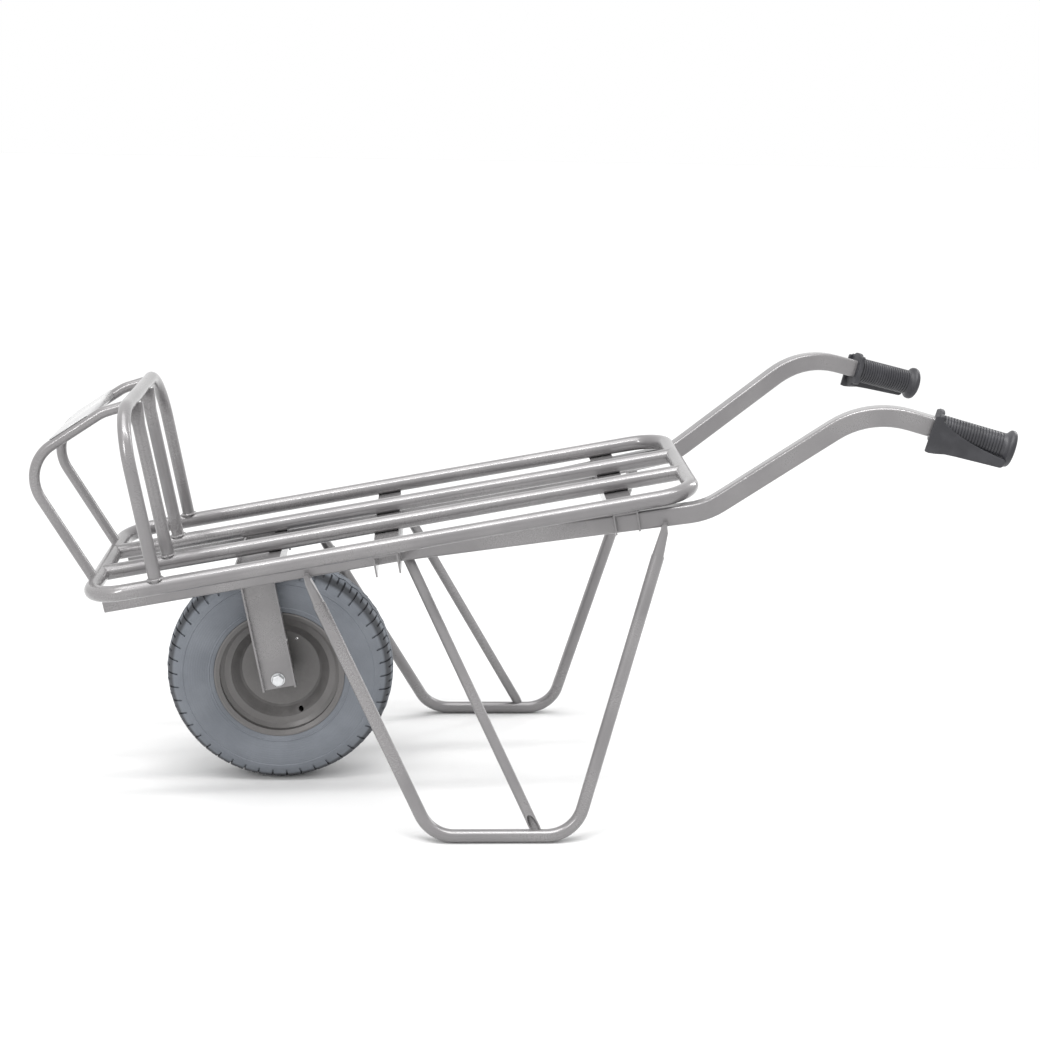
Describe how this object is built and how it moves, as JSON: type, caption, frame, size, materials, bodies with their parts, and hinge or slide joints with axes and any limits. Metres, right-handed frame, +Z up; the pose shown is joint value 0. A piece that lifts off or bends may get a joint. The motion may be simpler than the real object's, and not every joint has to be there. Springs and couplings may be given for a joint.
{
  "type": "wheelbarrow",
  "caption": "Tubular steel wheelbarrow with a flat open deck, headboard, bent legs, looped front bow, long rubber-gripped handles and one pneumatic wheel that spins on its axle",
  "frame": {"origin": "on the ground, under the middle of the whole barrow's box, midway between its sides", "axes": "+X from the wheel towards the handle grips, +Y to the right-hand side of the person pushing, +Z up"},
  "size_m": [1.602, 0.664, 0.7334],
  "materials": {
    "frame_paint": "semi-gloss warm grey powder coat",
    "plate_paint": "pale satin paint",
    "rim_steel": "satin taupe-grey paint",
    "tyre_rubber": "matte moulded rubber with a grooved tread",
    "grip_rubber": "matte moulded soft plastic with fine ribs",
    "zinc_steel": "bright zinc plating",
    "bare_steel": "plain turned steel"
  },
  "bodies": {
    "frame": {"deck_hoop": "frame_paint", "left_deck_tube": "frame_paint", "right_deck_tube": "frame_paint", "front_cross_member": "frame_paint", "middle_cross_member": "frame_paint", "rear_cross_member": "frame_paint", "left_handle_tube": "frame_paint", "right_handle_tube": "frame_paint", "left_grip": "grip_rubber", "right_grip": "grip_rubber", "headboard_arch": "frame_paint", "left_headboard_bar": "frame_paint", "right_headboard_bar": "frame_paint", "left_bow_tube": "frame_paint", "right_bow_tube": "frame_paint", "bow_plate": "plate_paint", "left_leg": "frame_paint", "right_leg": "frame_paint", "left_leg_strut": "frame_paint", "right_leg_strut": "frame_paint", "fork_head": "frame_paint", "left_fork_arm": "frame_paint", "right_fork_arm": "frame_paint", "axle_bolt": "zinc_steel", "axle_nut": "zinc_steel", "left_washer": "zinc_steel", "right_washer": "zinc_steel", "axle_tube": "bare_steel", "left_spacer": "bare_steel", "right_spacer": "bare_steel"},
    "wheel": {"tyre": "tyre_rubber", "left_rim_half": "rim_steel", "right_rim_half": "rim_steel", "wheel_hub": "bare_steel", "left_bearing": "bare_steel", "right_bearing": "bare_steel"}
  },
  "joints": [
    {"name": "wheel_spin", "type": "hinge", "parent": "frame", "child": "wheel", "pos_m": [-0.39756, 0, 0.2], "axis": [0, 1, 0], "continuous": true}
  ]
}
